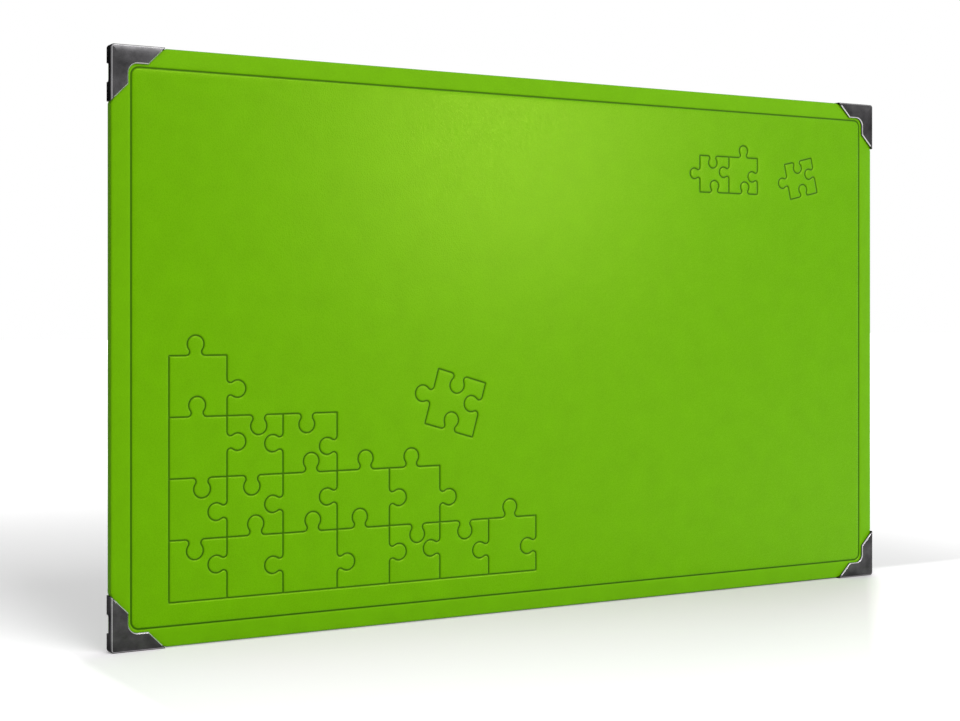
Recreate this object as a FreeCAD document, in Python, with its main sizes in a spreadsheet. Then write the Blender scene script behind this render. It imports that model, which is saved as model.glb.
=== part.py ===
# Jigsaw puzzle board: one thin stiff board, leatherette on the front and felt on the back, with a
# metal guard on each corner.
# Millimetres. X runs along the long side, Y from the leatherette front to the felt back, Z up.
# The board stands on its long edge, on the two lower guards, as in use against a wall or on a shelf.
# The origin is under its middle, on the surface that it stands on.
import FreeCAD, Part
import os
import re
import Sketcher
from math import atan2, cos, hypot, pi, radians, sin, sqrt

# Driving sizes: name, millimetres, meaning
SIZES = [
    ("board_width", 500, "long side of the covered board"),
    ("board_height", 300, "short side of the covered board"),
    ("core_gauge", 3.2, "hardboard thickness"),
    ("core_corner_radius", 0.6, "eased corner of the hardboard"),
    ("padding_gauge", 1.0, "foam thickness"),
    ("padding_edge_radius", 0.3, "rounding that the foam takes along its front edge"),
    ("leather_gauge", 0.8, "leatherette thickness"),
    ("mitre_gap", 0.3, "open seam between two flaps at a back corner"),
    ("mitre_end", 3, "leatherette left whole between the seam and the board's corner"),
    ("infill_gap", 0.5, "gap between the infill card and the flaps"),
    ("felt_gauge", 1.0, "felt thickness"),
    ("felt_gap", 2.3, "bare leatherette between the felt and the guards"),
    ("felt_overlap", 9, "how far the felt reaches over the flaps"),
    ("felt_corner_radius", 3, "rounded corner of the felt"),
    ("border_gap", 1.0, "between the guards' arms and the pressed border line"),
    ("border_line_width", 1.3, "width of the pressed border line"),
    ("pressed_depth", 0.45, "depth of all pressed lines"),
    ("border_corner_radius", 4, "rounded corner of the border line, at its middle"),
    ("picture_line_width", 1.1, "width of the pressed lines of the pictures"),
    ("picture_left", 30, "large picture, from the board's left edge"),
    ("picture_bottom", 22, "large picture, from the board's lower edge"),
    ("picture_piece", 31, "one jigsaw piece of the large picture, without its tabs"),
    ("badge_right", 93, "joined pieces of the small picture, from the board's right edge"),
    ("badge_top", 38, "small picture, from the board's upper edge, without its tabs"),
    ("badge_piece", 22, "one jigsaw piece of the small picture, without its tabs"),
    ("guard_plate_gauge", 1.2, "front plate of a guard"),
    ("guard_wall_gauge", 0.6, "walls of a guard, round the board's edges"),
    ("guard_lip_gauge", 0.7, "lip and tabs of a guard, on the board's back"),
    ("guard_clearance", 0.1, "play between a guard and the board"),
    ("guard_seat", 0.3, "how deep the guards' walls are pressed into the leatherette's edges"),
    ("guard_round", 1.2, "rounding along the outer edges of a guard"),
    ("guard_inner_round", 0.3, "rounding along the inner edges of a guard"),
    ("guard_arm", 9.1, "width of a guard's arms, front and back"),
    ("guard_throat_radius", 5, "inner corner between a guard's arms"),
    ("guard_straight", 5.4, "straight inner edge of an arm, between the throat and the 45 degree end"),
    ("guard_bevel", 0.5, "bevel along the outline of the front plate"),
    ("guard_lip_chamfer", 3, "cut corner of the square lip behind the board's corner"),
    ("guard_relief_width", 9.5, "relief between that lip and the tab at the end of each arm"),
    ("guard_relief_depth", 3.9, "depth of the relief, from the back of the guard"),
    ("guard_relief_radius", 1.8, "rounded corners of the relief"),
]

doc = FreeCAD.newDocument("PuzzleBoard")
sizes = doc.addObject("Spreadsheet::Sheet", "Sizes")
for row, (name, millimetres, meaning) in enumerate(SIZES, start=1):
    sizes.set(f"A{row}", meaning)
    sizes.set(f"B{row}", str(millimetres))
    sizes.setAlias(f"B{row}", name)
doc.recompute()

# Formulas that several pieces share, written with the names in the sheet.
# Depths run along Y and the whole stack, from guard to felt, is centred on Y = 0.
board_depth = "(2 * leather_gauge + padding_gauge + core_gauge)"
whole_depth = f"(guard_plate_gauge + guard_clearance + {board_depth} + felt_gauge)"
guard_front = f"(0 - {whole_depth} / 2)"
leather_front = f"({guard_front} + guard_plate_gauge + guard_clearance)"
padding_front = f"({leather_front} + leather_gauge)"
core_front = f"({padding_front} + padding_gauge)"
core_back = f"({core_front} + core_gauge)"
leather_back = f"({core_back} + leather_gauge)"
felt_back = f"({leather_back} + felt_gauge)"
guard_back = f"({leather_back} + guard_clearance + guard_lip_gauge)"
core_width = "(board_width - 2 * leather_gauge)"
core_height = "(board_height - 2 * leather_gauge)"
board_corner_radius = "(core_corner_radius + leather_gauge)"
guard_standoff = "(guard_clearance + guard_wall_gauge - guard_seat)"
guard_leg = "(2 * guard_arm + guard_throat_radius + guard_straight)"
guard_tab_start = "(guard_arm + guard_relief_width)"
felt_inset = f"(guard_arm - {guard_standoff} + felt_gap)"
turn_in = f"({felt_inset} + felt_overlap)"
border_inset = f"(guard_arm - {guard_standoff} + border_gap + border_line_width / 2)"
guard_inside_front = f"({leather_front} - guard_clearance)"
guard_inside_back = f"({leather_back} + guard_clearance)"
guard_relief_front = f"({guard_back} - guard_relief_depth)"
guard_seat_radius = f"({board_corner_radius} - guard_seat)"
guard_seat_end = f"({guard_leg} - {guard_standoff} + guard_clearance)"
guard_pocket_radius = f"({guard_seat_radius} + guard_clearance)"
guard_corner_radius = f"({guard_pocket_radius} + guard_wall_gauge)"
board_middle_height = f"({guard_standoff} + board_height / 2)"


def in_sheet(formula):
    """A formula written with the sizes' names, as an expression of the document."""
    return re.sub(r"[a-z_]+", lambda word: "Sizes." + word.group(), formula)


def number(formula):
    return float(sizes.evalExpression(in_sheet(formula)))


def bind(item, prop, formula):
    item.setExpression(prop, in_sheet(formula))


def new_body(label):
    body = doc.addObject("PartDesign::Body", label)
    body.Label = label
    return body


def front_view_sketch(body, name, depth):
    """A sketch seen from the front, X to the right and Z up, at a depth along Y."""
    sketch = body.newObject("Sketcher::SketchObject", name)
    plane = next(item for item in body.Origin.OriginFeatures if item.Role == "XZ_Plane")
    sketch.AttachmentSupport = (plane, [""])
    sketch.MapMode = "FlatFace"
    bind(sketch, "AttachmentOffset.Base.z", f"0 - {depth}")
    return sketch


def constrain(sketch, name, formula, kind, *where):
    """Adds a constraint whose size follows a formula."""
    index = sketch.addConstraint(Sketcher.Constraint(kind, *where, number(formula)))
    sketch.renameConstraint(index, name)
    bind(sketch, "Constraints." + name, formula)


def line(start, end):
    return Part.LineSegment(FreeCAD.Vector(*start, 0), FreeCAD.Vector(*end, 0))


def arc(centre, radius, start_degrees, end_degrees):
    circle = Part.Circle(FreeCAD.Vector(*centre, 0), FreeCAD.Vector(0, 0, 1), radius)
    return Part.ArcOfCircle(circle, radians(start_degrees), radians(end_degrees))


def rounded_rectangle(sketch, name, width, height, radius):
    """Draws a rectangle about the sketch's origin, with four equal rounded corners."""
    half_x = number(width) / 2
    half_z = number(height) / 2
    round_off = number(radius)
    in_x = half_x - round_off
    in_z = half_z - round_off
    first = sketch.GeometryCount
    for turn, (side_x, side_z) in enumerate([(1, 1), (-1, 1), (-1, -1), (1, -1)]):
        sketch.addGeometry(arc((side_x * in_x, side_z * in_z), round_off, 90 * turn, 90 * turn + 90))
    top, left, bottom, right = range(first + 4, first + 8)
    sketch.addGeometry(line((in_x, half_z), (-in_x, half_z)))
    sketch.addGeometry(line((-half_x, in_z), (-half_x, -in_z)))
    sketch.addGeometry(line((-in_x, -half_z), (in_x, -half_z)))
    sketch.addGeometry(line((half_x, -in_z), (half_x, in_z)))
    for turn, side in enumerate((top, left, bottom, right)):
        sketch.addConstraint(Sketcher.Constraint("Tangent", first + turn, 2, side, 1))
        sketch.addConstraint(Sketcher.Constraint("Tangent", side, 2, first + (turn + 1) % 4, 1))
    sketch.addConstraint([Sketcher.Constraint("Horizontal", side) for side in (top, bottom)])
    sketch.addConstraint([Sketcher.Constraint("Vertical", side) for side in (left, right)])
    sketch.addConstraint([Sketcher.Constraint("Equal", first, first + turn) for turn in (1, 2, 3)])
    sketch.addConstraint(Sketcher.Constraint("Symmetric", first, 3, first + 2, 3, -1, 1))
    constrain(sketch, name + "_width", width, "DistanceX", left, 1, right, 1)
    constrain(sketch, name + "_height", height, "DistanceY", bottom, 1, top, 1)
    constrain(sketch, name + "_radius", radius, "Radius", first)


def pad_to_front(body, sketch, name, length):
    """Fills a sketch from its own depth towards the front."""
    feature = body.newObject("PartDesign::Pad", name)
    feature.Profile = sketch
    bind(feature, "Length", length)
    doc.recompute()
    return feature


def pocket_to_back(body, sketch, name, length):
    """Cuts a sketch from its own depth towards the back, and makes sure that it did cut."""
    before = body.Shape.Volume
    feature = body.newObject("PartDesign::Pocket", name)
    feature.Profile = sketch
    bind(feature, "Length", length)
    doc.recompute()
    if body.Shape.Volume > before - 0.01:
        raise RuntimeError(f"{name} cuts nothing")
    return feature


def edges_at(feature, depth, wanted=lambda edge: True):
    """Names of the feature's edges that lie at one depth along Y and pass a further test."""
    level = number(depth)
    names = []
    for index, edge in enumerate(feature.Shape.Edges, start=1):
        points = edge.discretize(3)
        if max(abs(point.y - level) for point in points) < 0.001 and wanted(edge):
            names.append(f"Edge{index}")
    return names


def from_outer_sides(edge):
    """How far the middle of a guard's edge is from the nearer outer side of the guard."""
    middle = edge.discretize(3)[1]
    return min(middle.x, middle.z)


def dress_edges(body, kind, name, feature, edges, prop, formula):
    """Rounds or bevels some edges of the feature that was made last."""
    dressed = body.newObject(kind, name)
    dressed.Base = (feature, edges)
    bind(dressed, prop, formula)
    doc.recompute()
    return dressed


def layer(label, width, height, radius, back, gauge):
    """A flat sheet with rounded corners, centred on the board."""
    body = new_body(label)
    sketch = front_view_sketch(body, label + "_outline", back)
    rounded_rectangle(sketch, "outline", width, height, radius)
    pad = pad_to_front(body, sketch, label + "_pad", gauge)
    bind(body, "Placement.Base.z", board_middle_height)
    return body, pad


def core_panel():
    """Hardboard that makes the board stiff."""
    body, _ = layer("core_panel", core_width, core_height, "core_corner_radius", core_back, "core_gauge")
    return body


def front_padding():
    """Foam on the front of the core, as large as the core, its front edge pressed round."""
    body, pad = layer("front_padding", core_width, core_height, "core_corner_radius", core_front,
                      "padding_gauge")
    rim = edges_at(pad, padding_front)
    dress_edges(body, "PartDesign::Fillet", "padding_round_edge", pad, rim, "Radius", "padding_edge_radius")
    return body


def leatherette_cover():
    """Leatherette over the front, round the four edges and turned in on the back."""
    label = "leatherette_sheet"
    body, pad = layer(label, "board_width", "board_height", board_corner_radius, leather_back, board_depth)
    front_rim = edges_at(pad, leather_front)
    front_round = dress_edges(body, "PartDesign::Fillet", "leather_front_round", pad, front_rim, "Radius",
                              "padding_edge_radius + leather_gauge")
    back_rim = edges_at(front_round, leather_back)
    dress_edges(body, "PartDesign::Fillet", "leather_back_round", front_round, back_rim, "Radius",
                "leather_gauge")

    # The space that the foam and the core fill, rounded along its front as the foam is.
    space = front_view_sketch(body, "leather_space_outline", padding_front)
    rounded_rectangle(space, "space", core_width, core_height, "core_corner_radius")
    hollow = pocket_to_back(body, space, "leather_space", f"{core_back} - {padding_front}")
    dress_edges(body, "PartDesign::Fillet", "leather_space_round", hollow, edges_at(hollow, padding_front),
                "Radius", "padding_edge_radius")

    # The window between the flaps on the back.
    window = front_view_sketch(body, "leather_window_outline", core_back)
    rounded_rectangle(window, "window", f"board_width - 2 * {turn_in}", f"board_height - 2 * {turn_in}",
                      "core_corner_radius")
    pocket_to_back(body, window, "leather_window", "leather_gauge")

    # The mitred seam in one back corner and the seat of its guard, mirrored to the other three.
    seam = front_view_sketch(body, "leather_mitre_outline", core_back)
    mitre_outline(seam)
    slit = pocket_to_back(body, seam, "leather_mitre", "leather_gauge")
    step = front_view_sketch(body, "leather_seat_outline", leather_front)
    seat_outline(step)
    seat = pocket_to_back(body, step, "leather_seat", board_depth)
    corners = body.newObject("PartDesign::MultiTransform", "leather_corners")
    mirrors = []
    for role in ("YZ_Plane", "XY_Plane"):
        mirror = body.newObject("PartDesign::Mirrored", "leather_corner_across_" + role[:2])
        mirror.MirrorPlane = (next(item for item in body.Origin.OriginFeatures if item.Role == role), [""])
        mirrors.append(mirror)
    corners.Originals = [slit, seat]
    corners.Transformations = mirrors
    body.Tip = corners
    doc.recompute()

    # The border line pressed into the front.
    border = front_view_sketch(body, "border_line_outline", leather_front)
    for name, side in (("outer", "border_line_width"), ("inner", "(0 - border_line_width)")):
        rounded_rectangle(border, name, f"board_width - 2 * {border_inset} + {side}",
                          f"board_height - 2 * {border_inset} + {side}", f"border_corner_radius + {side} / 2")
    pocket_to_back(body, border, "border_line", "pressed_depth")

    # The pictures pressed in with it.
    pictures = doc.addObject("Part::Feature", "pressed_pictures")
    pictures.Shape = pressed_pictures()
    pictures.Placement = FreeCAD.Placement(
        FreeCAD.Vector(number("0 - board_width / 2"), number(leather_front), number(guard_standoff)),
        FreeCAD.Rotation(FreeCAD.Vector(1, 0, 0), 90))
    pressed = doc.addObject("Part::Cut", "leatherette_cover")
    pressed.Base = body
    pressed.Tool = pictures
    pressed.Label = "leatherette_cover"
    return pressed


# A tab of a jigsaw piece, as shares of the piece's side: the round head, the two round shoulders of
# the neck, how far the head's middle stands out, and how far a tab may sit off the side's middle.
TAB_HEAD = 0.145
TAB_SHOULDER = 0.061
TAB_REACH = 0.187
TAB_WANDER = 0.07


def jigsaw_side(start, end, out, wander):
    """One side of a jigsaw piece as line and arc edges; out is 1 or -1, the side that the tab is on."""
    length = hypot(end[0] - start[0], end[1] - start[1])
    head = TAB_HEAD * length
    shoulder = TAB_SHOULDER * length
    reach = TAB_REACH * length
    middle = length * (0.5 + TAB_WANDER * wander)
    spread = sqrt((head + shoulder) ** 2 - (reach - shoulder) ** 2)
    lean = atan2(reach - shoulder, spread)

    def point(along, away):
        across = (start[1] - end[1]) / length, (end[0] - start[0]) / length
        forward = (end[0] - start[0]) / length, (end[1] - start[1]) / length
        return FreeCAD.Vector(start[0] + forward[0] * along + across[0] * away * out,
                              start[1] + forward[1] * along + across[1] * away * out, 0)

    def on_shoulder(side, angle):
        return point(middle - side * (spread - shoulder * cos(angle)), shoulder + shoulder * sin(angle))

    foot, crest = -pi / 2, (lean - pi / 2) / 2
    return [
        Part.LineSegment(point(0, 0), on_shoulder(1, foot)).toShape(),
        Part.Arc(on_shoulder(1, foot), on_shoulder(1, crest), on_shoulder(1, lean)).toShape(),
        Part.Arc(on_shoulder(1, lean), point(middle, reach + head), on_shoulder(-1, lean)).toShape(),
        Part.Arc(on_shoulder(-1, lean), on_shoulder(-1, crest), on_shoulder(-1, foot)).toShape(),
        Part.LineSegment(on_shoulder(-1, foot), point(length, 0)).toShape(),
    ]


def jigsaw_block(piece, rows, framed):
    """Lines of joined jigsaw pieces from a lower left corner at 0, 0. Rows gives each row's pieces,
    from the lowest up. A framed block has straight outer sides below and on the left."""
    columns = [sum(1 for count in rows if count > column) for column in range(rows[0])]
    lines = []
    for level, count in enumerate([rows[0]] + rows):
        sides = []
        for column in range(count):
            start, end = (column * piece, level * piece), ((column + 1) * piece, level * piece)
            out = 1 if (2 * column + 3 * level) % 5 in (0, 2, 4) else -1
            if framed and level == 0:
                sides.append(line(start, end).toShape())
            else:
                sides += jigsaw_side(start, end, out, sin(2.3 * column + 4.1 * level))
        lines.append(Part.Wire(sides))
    for column, count in enumerate([columns[0]] + columns):
        sides = []
        for level in range(count):
            start, end = (column * piece, level * piece), (column * piece, (level + 1) * piece)
            out = 1 if (3 * column + 2 * level) % 5 in (0, 1, 3) else -1
            if framed and column == 0:
                sides.append(line(start, end).toShape())
            else:
                sides += jigsaw_side(start, end, out, sin(1.7 * column + 2.9 * level))
        lines.append(Part.Wire(sides))
    return lines


def moved(lines, right, up, tilt_degrees=0):
    """Lines turned about 0, 0 and then moved across the board's front."""
    place = FreeCAD.Placement(FreeCAD.Vector(right, up, 0), FreeCAD.Rotation(tilt_degrees, 0, 0))
    return [path.transformed(place.toMatrix()) for path in lines]


def pressed_pictures():
    """The pressed line work as one solid per picture, flat on XY from the board's lower left corner."""
    piece = number("picture_piece")
    left = number("picture_left")
    bottom = number("picture_bottom")
    badge = number("badge_piece")
    badge_left = number("board_width - badge_right - 2 * badge_piece")
    badge_bottom = number("board_height - badge_top - badge_piece")
    lines = moved(jigsaw_block(piece, [7, 5, 3, 1], True), left, bottom)
    lines += moved(jigsaw_block(piece, [1], False), left + 4.7 * piece, bottom + 2.75 * piece, -16)
    lines += moved(jigsaw_block(badge, [2], False), badge_left, badge_bottom)
    lines += moved(jigsaw_block(badge, [1], False), badge_left + 3.2 * badge, badge_bottom - 0.1 * badge, 13)
    half = number("picture_line_width") / 2
    ribbons = [Part.Face(path.makeOffset2D(half, 0, False, False, False)) for path in lines]
    depth = number("pressed_depth")
    return ribbons[0].multiFuse(ribbons[1:]).removeSplitter().extrude(FreeCAD.Vector(0, 0, -depth))


def mitre_outline(sketch):
    """A narrow slit at 45 degrees, from inside the window to near the board's corner."""
    far_x = number("board_width / 2 - mitre_end")
    far_z = number("board_height / 2 - mitre_end")
    run = number(f"{turn_in} + 2 * mitre_gap - mitre_end")
    side = number("mitre_gap") / 2 ** 0.5
    corners = [(far_x - run, far_z - run + side), (far_x, far_z + side), (far_x + side, far_z),
               (far_x - run + side, far_z - run)]
    for start, end in zip(corners, corners[1:] + corners[:1]):
        sketch.addGeometry(line(start, end))
    for side in range(4):
        sketch.addConstraint(Sketcher.Constraint("Coincident", side, 2, (side + 1) % 4, 1))
    sketch.addConstraint(Sketcher.Constraint("Perpendicular", 0, 1))
    sketch.addConstraint(Sketcher.Constraint("Parallel", 0, 2))
    sketch.addConstraint(Sketcher.Constraint("Perpendicular", 0, 3))
    sketch.addConstraint(Sketcher.Constraint("Angle", 0, radians(45)))
    constrain(sketch, "gap", "mitre_gap", "Distance", 1)
    constrain(sketch, "far_x", "board_width / 2 - mitre_end", "DistanceX", -1, 1, 0, 2)
    constrain(sketch, "far_z", "board_height / 2 - mitre_end", "DistanceY", -1, 1, 2, 1)
    constrain(sketch, "near_x", f"board_width / 2 - {turn_in} - 2 * mitre_gap", "DistanceX", -1, 1, 0, 1)


def seat_outline(sketch):
    """What a guard's walls press in of the upper right corner, as a strip outside the line of the walls."""
    edge_x = number("board_width / 2")
    edge_z = number("board_height / 2")
    seat = number("guard_seat")
    end = number(guard_seat_end)
    heel = number(guard_seat_radius)
    line_x = edge_x - seat
    line_z = edge_z - seat
    sketch.addGeometry(arc((line_x - heel, line_z - heel), heel, 0, 90))
    corners = [(line_x - heel, line_z), (edge_x - end, line_z), (edge_x - end, edge_z + seat),
               (edge_x + seat, edge_z + seat), (edge_x + seat, edge_z - end), (line_x, edge_z - end),
               (line_x, line_z - heel)]
    for start, finish in zip(corners, corners[1:]):
        sketch.addGeometry(line(start, finish))
    heel_arc, upper, left_end, outer_top, outer_side, lower_end, side = range(7)
    sketch.addConstraint(Sketcher.Constraint("Tangent", heel_arc, 2, upper, 1))
    sketch.addConstraint(Sketcher.Constraint("Tangent", side, 2, heel_arc, 1))
    for first in (upper, left_end, outer_top, outer_side, lower_end):
        sketch.addConstraint(Sketcher.Constraint("Coincident", first, 2, first + 1, 1))
    sketch.addConstraint([Sketcher.Constraint("Horizontal", item) for item in (upper, outer_top, lower_end)])
    sketch.addConstraint([Sketcher.Constraint("Vertical", item) for item in (left_end, outer_side, side)])
    constrain(sketch, "heel", guard_seat_radius, "Radius", heel_arc)
    constrain(sketch, "line_x", "board_width / 2 - guard_seat", "DistanceX", -1, 1, side, 1)
    constrain(sketch, "line_z", "board_height / 2 - guard_seat", "DistanceY", -1, 1, upper, 1)
    constrain(sketch, "outer_x", "board_width / 2 + guard_seat", "DistanceX", -1, 1, outer_side, 1)
    constrain(sketch, "outer_z", "board_height / 2 + guard_seat", "DistanceY", -1, 1, outer_top, 1)
    constrain(sketch, "end_x", f"board_width / 2 - {guard_seat_end}", "DistanceX", -1, 1, left_end, 1)
    constrain(sketch, "end_z", f"board_height / 2 - {guard_seat_end}", "DistanceY", -1, 1, lower_end, 1)


def infill_card():
    """Card that fills the window between the flaps, so that the felt lies flat."""
    inset = f"(2 * {turn_in} + 2 * infill_gap)"
    body, _ = layer("back_infill_card", f"board_width - {inset}", f"board_height - {inset}",
                    "core_corner_radius", leather_back, "leather_gauge")
    return body


def felt_work_surface():
    """Felt that the puzzle is laid out on. It covers the card and the edges of the flaps."""
    body, _ = layer("felt_work_surface", f"board_width - 2 * {felt_inset}",
                    f"board_height - 2 * {felt_inset}", "felt_corner_radius", felt_back, "felt_gauge")
    return body


def guard_outline(sketch):
    """A guard seen from the front: two arms with 45 degree ends and a round throat."""
    leg = number(guard_leg)
    arm = number("guard_arm")
    throat = number("guard_throat_radius")
    heel = number(guard_corner_radius)
    sketch.addGeometry(arc((heel, heel), heel, 180, 270))
    sketch.addGeometry(line((heel, 0), (leg, 0)))
    sketch.addGeometry(line((leg, 0), (leg - arm, arm)))
    sketch.addGeometry(line((leg - arm, arm), (arm + throat, arm)))
    sketch.addGeometry(arc((arm + throat, arm + throat), throat, 180, 270))
    sketch.addGeometry(line((arm, arm + throat), (arm, leg - arm)))
    sketch.addGeometry(line((arm, leg - arm), (0, leg)))
    sketch.addGeometry(line((0, leg), (0, heel)))
    heel_arc, floor, right_end, floor_side, throat_arc, wall_side, upper_end, wall = range(8)
    sketch.addConstraint(Sketcher.Constraint("Tangent", heel_arc, 2, floor, 1))
    sketch.addConstraint(Sketcher.Constraint("Tangent", wall, 2, heel_arc, 1))
    sketch.addConstraint(Sketcher.Constraint("Tangent", floor_side, 2, throat_arc, 2))
    sketch.addConstraint(Sketcher.Constraint("Tangent", throat_arc, 1, wall_side, 1))
    for first, second in ((floor, right_end), (right_end, floor_side), (wall_side, upper_end),
                          (upper_end, wall)):
        sketch.addConstraint(Sketcher.Constraint("Coincident", first, 2, second, 1))
    sketch.addConstraint([Sketcher.Constraint("Horizontal", side) for side in (floor, floor_side)])
    sketch.addConstraint([Sketcher.Constraint("Vertical", side) for side in (wall, wall_side)])
    sketch.addConstraint(Sketcher.Constraint("PointOnObject", floor, 1, -1))
    sketch.addConstraint(Sketcher.Constraint("PointOnObject", wall, 1, -2))
    constrain(sketch, "heel", guard_corner_radius, "Radius", heel_arc)
    constrain(sketch, "throat", "guard_throat_radius", "Radius", throat_arc)
    constrain(sketch, "floor_leg", guard_leg, "DistanceX", -1, 1, floor, 2)
    constrain(sketch, "wall_leg", guard_leg, "DistanceY", -1, 1, wall, 1)
    constrain(sketch, "floor_arm", "guard_arm", "DistanceY", -1, 1, floor_side, 1)
    constrain(sketch, "wall_arm", "guard_arm", "DistanceX", -1, 1, wall_side, 1)
    constrain(sketch, "floor_cut", f"{guard_leg} - guard_arm", "DistanceX", -1, 1, floor_side, 1)
    constrain(sketch, "wall_cut", f"{guard_leg} - guard_arm", "DistanceY", -1, 1, wall_side, 2)


def room_outline(sketch):
    """The room inside a guard for the board's corner, open beyond the guard's ends."""
    near = number("guard_wall_gauge")
    far = number(f"{guard_leg} + guard_arm")
    heel = number(guard_pocket_radius)
    sketch.addGeometry(arc((near + heel, near + heel), heel, 180, 270))
    sketch.addGeometry(line((near + heel, near), (far, near)))
    sketch.addGeometry(line((far, near), (far, far)))
    sketch.addGeometry(line((far, far), (near, far)))
    sketch.addGeometry(line((near, far), (near, near + heel)))
    sketch.addConstraint(Sketcher.Constraint("Tangent", 0, 2, 1, 1))
    sketch.addConstraint(Sketcher.Constraint("Tangent", 4, 2, 0, 1))
    for side in (1, 2, 3):
        sketch.addConstraint(Sketcher.Constraint("Coincident", side, 2, side + 1, 1))
    sketch.addConstraint([Sketcher.Constraint("Horizontal", side) for side in (1, 3)])
    sketch.addConstraint([Sketcher.Constraint("Vertical", side) for side in (2, 4)])
    constrain(sketch, "heel", guard_pocket_radius, "Radius", 0)
    constrain(sketch, "near_x", "guard_wall_gauge", "DistanceX", -1, 1, 4, 1)
    constrain(sketch, "near_z", "guard_wall_gauge", "DistanceY", -1, 1, 1, 1)
    constrain(sketch, "far_x", f"{guard_leg} + guard_arm", "DistanceX", -1, 1, 2, 2)
    constrain(sketch, "far_z", f"{guard_leg} + guard_arm", "DistanceY", -1, 1, 2, 2)


def relief_outline(sketch):
    """What is cut from the back of a guard: all but the corner lip and the two end tabs."""
    outside = -number("guard_wall_gauge")
    lip = number("guard_arm")
    chamfer = number("guard_lip_chamfer")
    tab = number(guard_tab_start)
    corners = [(lip, outside), (tab, outside), (tab, tab), (outside, tab), (outside, lip),
               (lip - chamfer, lip), (lip, lip - chamfer)]
    count = len(corners)
    for start, end in zip(corners, corners[1:] + corners[:1]):
        sketch.addGeometry(line(start, end))
    for side in range(count):
        sketch.addConstraint(Sketcher.Constraint("Coincident", side, 2, (side + 1) % count, 1))
    sketch.addConstraint([Sketcher.Constraint("Horizontal", side) for side in (0, 2, 4)])
    sketch.addConstraint([Sketcher.Constraint("Vertical", side) for side in (1, 3, 6)])
    constrain(sketch, "outside_z", "0 - guard_wall_gauge", "DistanceY", -1, 1, 0, 1)
    constrain(sketch, "outside_x", "0 - guard_wall_gauge", "DistanceX", -1, 1, 3, 1)
    constrain(sketch, "lip_x", "guard_arm", "DistanceX", -1, 1, 0, 1)
    constrain(sketch, "lip_z", "guard_arm", "DistanceY", -1, 1, 4, 1)
    constrain(sketch, "tab_x", guard_tab_start, "DistanceX", -1, 1, 1, 1)
    constrain(sketch, "tab_z", guard_tab_start, "DistanceY", -1, 1, 2, 1)
    constrain(sketch, "chamfer_x", "guard_arm - guard_lip_chamfer", "DistanceX", -1, 1, 5, 1)
    constrain(sketch, "chamfer_z", "guard_arm - guard_lip_chamfer", "DistanceY", -1, 1, 6, 1)


def corner_guard(label, turn_degrees, side_x, height):
    """Metal casting on one corner. It is drawn for the lower left corner and turned about Y."""
    body = new_body(label)
    outline = front_view_sketch(body, label + "_outline", guard_back)
    guard_outline(outline)
    blank = pad_to_front(body, outline, label + "_blank", f"{guard_back} - {guard_front}")
    outer_strip = number(guard_corner_radius) / 2
    rim = [name for depth in (guard_front, guard_back)
           for name in edges_at(blank, depth, lambda edge: from_outer_sides(edge) < outer_strip)]
    dress_edges(body, "PartDesign::Fillet", label + "_rounds", blank, rim, "Radius", "guard_round")

    # The room for the board's corner.
    room = front_view_sketch(body, label + "_room_outline", guard_inside_front)
    room_outline(room)
    hollow = pocket_to_back(body, room, label + "_room", f"{guard_inside_back} - {guard_inside_front}")
    inner_strip = number(f"guard_wall_gauge + {guard_pocket_radius} / 2")
    inner_rim = [name for depth in (guard_inside_front, guard_inside_back)
                 for name in edges_at(hollow, depth, lambda edge: from_outer_sides(edge) < inner_strip)]
    dress_edges(body, "PartDesign::Fillet", label + "_inner_rounds", hollow, inner_rim, "Radius",
                "guard_inner_round")

    # The relief at the back, between the lip behind the corner and the tabs at the ends.
    relief = front_view_sketch(body, label + "_relief_outline", guard_relief_front)
    relief_outline(relief)
    opened = pocket_to_back(body, relief, label + "_relief", "guard_relief_depth")
    gauge = number("guard_wall_gauge")
    across_wall = edges_at(opened, guard_relief_front, lambda edge: abs(edge.Length - gauge) < 0.001)
    eased = dress_edges(body, "PartDesign::Fillet", label + "_relief_corners", opened, across_wall,
                        "Radius", "guard_relief_radius")

    # The bevel along the inner outline of the front plate.
    rounding = number("guard_round")
    inner_edge = edges_at(eased, guard_front, lambda edge: from_outer_sides(edge) > rounding + 0.001)
    dress_edges(body, "PartDesign::Chamfer", label + "_bevel", eased, inner_edge, "Size", "guard_bevel")

    body.Placement.Rotation = FreeCAD.Rotation(FreeCAD.Vector(0, 1, 0), turn_degrees)
    bind(body, "Placement.Base.x", f"{side_x} * (board_width / 2 + {guard_standoff})")
    bind(body, "Placement.Base.z", height)
    return body


board_top = f"(board_height + 2 * {guard_standoff})"
sub_parts = [
    core_panel(),
    front_padding(),
    leatherette_cover(),
    infill_card(),
    felt_work_surface(),
    corner_guard("corner_guard_bottom_left", 0, -1, "0"),
    corner_guard("corner_guard_bottom_right", -90, 1, "0"),
    corner_guard("corner_guard_top_right", 180, 1, board_top),
    corner_guard("corner_guard_top_left", 90, -1, board_top),
]
doc.recompute()

for item in doc.Objects:
    if "Invalid" in item.State or "Error" in item.State:
        raise RuntimeError(f"{item.Label} did not compute")
for body in sub_parts:
    if body.Shape.isNull() or not body.Shape.isValid() or len(body.Shape.Solids) != 1:
        raise RuntimeError(f"{body.Label} isn't one valid solid")

os.makedirs("parts", exist_ok=True)
for body in sub_parts:
    body.Shape.exportStep(f"parts/{body.Label}.step")
    print(f"{body.Label}: {body.Shape.Volume:.1f} mm3")
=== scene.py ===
import math
import bpy
import bmesh
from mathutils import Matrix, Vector, geometry, kdtree, noise


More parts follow.
